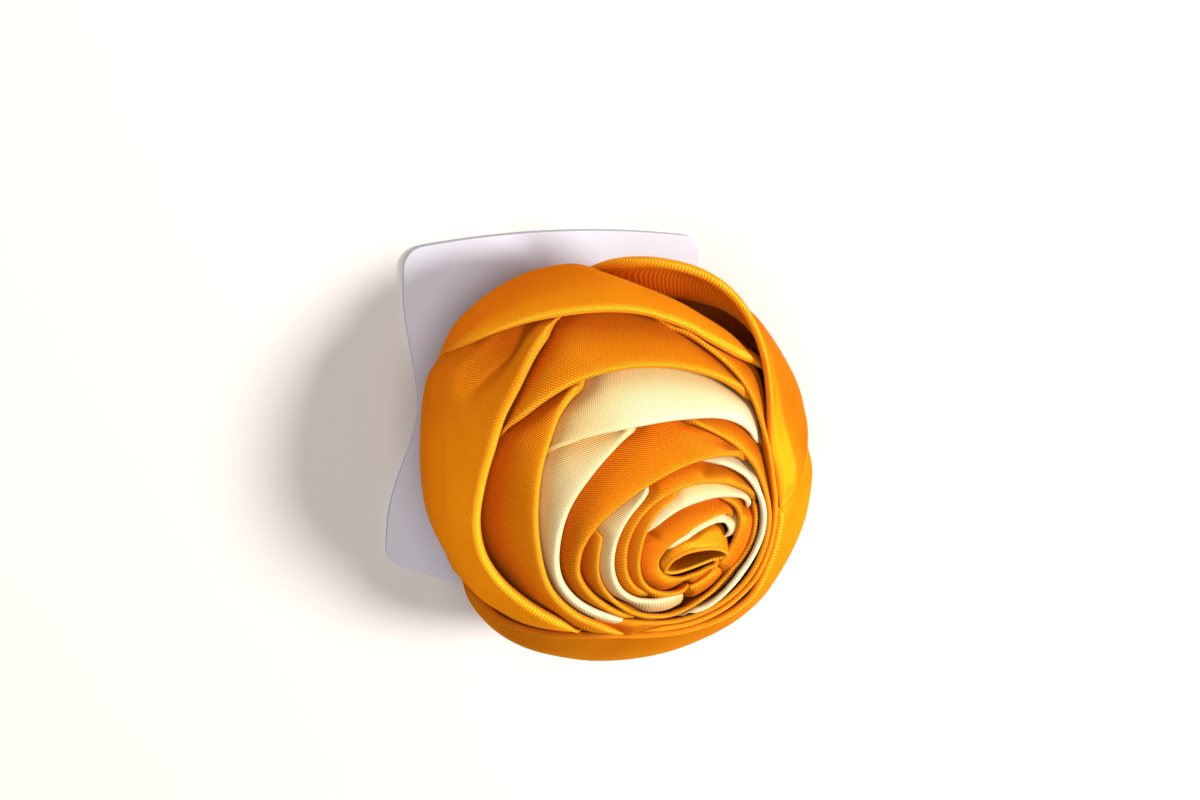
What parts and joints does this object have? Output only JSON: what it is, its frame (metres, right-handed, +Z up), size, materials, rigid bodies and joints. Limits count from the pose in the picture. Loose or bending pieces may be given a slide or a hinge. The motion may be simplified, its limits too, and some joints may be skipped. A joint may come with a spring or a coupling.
{
  "type": "flower brooch on display card",
  "caption": "Rose brooch of folded gold and cream satin ribbon with a felt back and a bar pin, lying on a waisted white display card with a hanging slot.",
  "frame": {"origin": "middle of the flat underside of the card, on the surface it lies on", "axes": "+Z up through the flower, +Y towards the edge of the card with the hanging slot, +X to the right seen from above"},
  "size_m": [0.0867, 0.0881, 0.0492],
  "materials": {
    "gold_satin": "satin",
    "cream_satin": "satin",
    "white_felt": "matte",
    "nickel_steel": "brushed",
    "white_card": "smooth"
  },
  "bodies": {
    "root": {"bud_core": "gold_satin", "bud_lining": "cream_satin", "bud_back_fold": "gold_satin", "bud_side_fold": "gold_satin", "heart_cream_petal": "cream_satin", "heart_left_fold": "gold_satin", "heart_rear_fold": "gold_satin", "narrow_cream_petal": "cream_satin", "cream_ring": "cream_satin", "thin_gold_fold": "gold_satin", "middle_petal": "gold_satin", "gold_ring": "gold_satin", "left_cream_petal": "cream_satin", "upper_cream_petal": "cream_satin", "left_fold_petal": "gold_satin", "upper_gold_petal": "gold_satin", "long_fold": "gold_satin", "big_left_petal": "gold_satin", "top_roll_petal": "gold_satin", "front_petal": "gold_satin", "right_petal": "gold_satin", "felt_disc": "white_felt", "bar_pin": "nickel_steel", "display_card": "white_card"}
  },
  "joints": []
}
